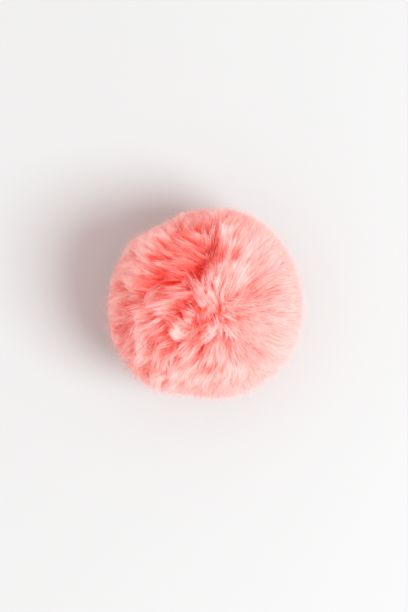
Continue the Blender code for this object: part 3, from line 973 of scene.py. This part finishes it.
class POMPOM_OT_skin(bpy.types.Operator):
    """Build the gathered skin under the pile"""

    bl_idname = "pompom.skin"
    bl_label = "Skin"

    def execute(self, context):
        ball = context.scene.pompom_shape
        bpy.ops.mesh.primitive_ico_sphere_add(subdivisions=5, radius=1.0)
        shell = context.object
        mesh = shell.data
        rooted = np.empty(len(mesh.vertices) * 3)
        mesh.vertices.foreach_get("co", rooted)
        rooted = unit(rooted.reshape(-1, 3))
        points = hair_points(ball, rooted, np.full(len(rooted), SKIN_UP), comb(ball, rooted))
        mesh.vertices.foreach_set("co", set_down(points).ravel())
        mesh.uv_layers[0].name = "OFBake"
        mesh.shade_smooth()
        mesh.name = "skin"
        bpy.data.objects.remove(shell)
        add_piece("skin", mesh, skin_material(context.scene.pompom_colours))
        return {"FINISHED"}


class POMPOM_OT_pile(bpy.types.Operator):
    """Build the combed pile, in meshes by where the hair is rooted"""

    bl_idname = "pompom.pile"
    bl_label = "Pile"

    def execute(self, context):
        pile = context.scene.pompom_pile
        rooted, points, heights, tone = lay_pile(context.scene.pompom_shape, pile)
        material = pile_material(context.scene.pompom_colours)
        azimuth = np.degrees(np.arctan2(rooted[:, 1], rooted[:, 0]))
        for seed, (name, lowest, highest, middle, half_spread) in enumerate(PILE_PARTS):
            apart = np.abs((azimuth - middle + 180.0) % 360.0 - 180.0)
            here = (rooted[:, 2] > lowest) & (rooted[:, 2] <= highest) & (apart <= half_spread)
            mesh = hair_mesh(name, points[here], heights[here], tone[here], pile.hair_width, seed)
            add_piece(name, mesh, material)
        return {"FINISHED"}


class POMPOM_OT_strays(bpy.types.Operator):
    """Build the fine hairs that stand out of the pile"""

    bl_idname = "pompom.strays"
    bl_label = "Stray hairs"

    def execute(self, context):
        pile = context.scene.pompom_pile
        rooted, points, heights, tone = lay_strays(context.scene.pompom_shape, pile)
        mesh = hair_mesh("strays", points, heights, tone, pile.stray_width, STRAY_WIDTH_SEED)
        add_piece("strays", mesh, bpy.data.materials["pile"])
        return {"FINISHED"}


class POMPOM_OT_stage(bpy.types.Operator):
    """Build the floor, the soft room light, the window and the camera over the pom pom"""

    bl_idname = "pompom.stage"
    bl_label = "Stage"

    def execute(self, context):
        scene = context.scene
        stage = scene.pompom_stage
        scene.view_settings.view_transform = "Standard"
        room = bpy.data.worlds.new("soft_room")
        room.use_nodes = True
        background = room.node_tree.nodes["Background"]
        background.inputs["Color"].default_value = (*stage.room_colour, 1.0)
        background.inputs["Strength"].default_value = stage.room_strength
        scene.world = room

        bpy.ops.mesh.primitive_circle_add(vertices=64, radius=FLOOR_RADIUS, fill_type="NGON")
        floor = context.object
        floor.name = "floor"
        floor.data.materials.append(floor_material(scene.pompom_colours))

        window = bpy.data.lights.new("window", "AREA")
        window.shape = "DISK"
        window.size = stage.window_size
        window.energy = stage.window_power
        window.color = stage.window_colour
        window_object = bpy.data.objects.new("window", window)
        window_object.location = WINDOW_PLACE
        aim = Vector(WINDOW_AIM) - window_object.location
        window_object.rotation_euler = aim.to_track_quat("-Z", "Y").to_euler()
        scene.collection.objects.link(window_object)

        lens = bpy.data.cameras.new("camera")
        lens.lens = lens.sensor_width * stage.camera_distance / (RENDER_HEIGHT * DOT)
        camera = bpy.data.objects.new("camera", lens)
        camera.location = (MIDDLE[0], MIDDLE[1] - CAMERA_LOW, MIDDLE[2] + stage.camera_distance)
        scene.collection.objects.link(camera)
        scene.camera = camera
        return {"FINISHED"}


class POMPOM_PT_panel(bpy.types.Panel):
    """The pom pom's sizes, colours and operators"""

    bl_label = "Pom pom"
    bl_space_type = "VIEW_3D"
    bl_region_type = "UI"
    bl_category = "Pom pom"

    def draw(self, context):
        for operator in OPERATORS:
            self.layout.operator(operator.bl_idname)
        for group, kind in GROUPS:
            settings = getattr(context.scene, group)
            for name in settings.bl_rna.properties.keys():
                if name not in ("name", "rna_type"):
                    self.layout.prop(settings, name)


GROUPS = (
    ("pompom_shape", PomPomShape),
    ("pompom_pile", PomPomPile),
    ("pompom_colours", PomPomColours),
    ("pompom_stage", PomPomStage),
)
OPERATORS = (POMPOM_OT_skin, POMPOM_OT_pile, POMPOM_OT_strays, POMPOM_OT_stage)


def register():
    for name, kind in GROUPS:
        bpy.utils.register_class(kind)
        setattr(bpy.types.Scene, name, PointerProperty(type=kind))
    for kind in (*OPERATORS, POMPOM_PT_panel):
        bpy.utils.register_class(kind)


def unregister():
    for kind in reversed((*OPERATORS, POMPOM_PT_panel)):
        bpy.utils.unregister_class(kind)
    for name, kind in reversed(GROUPS):
        delattr(bpy.types.Scene, name)
        bpy.utils.unregister_class(kind)


def main():
    """Register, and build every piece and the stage."""
    register()
    bpy.ops.pompom.skin()
    bpy.ops.pompom.pile()
    bpy.ops.pompom.strays()
    bpy.ops.pompom.stage()


if __name__ == "__main__":
    main()
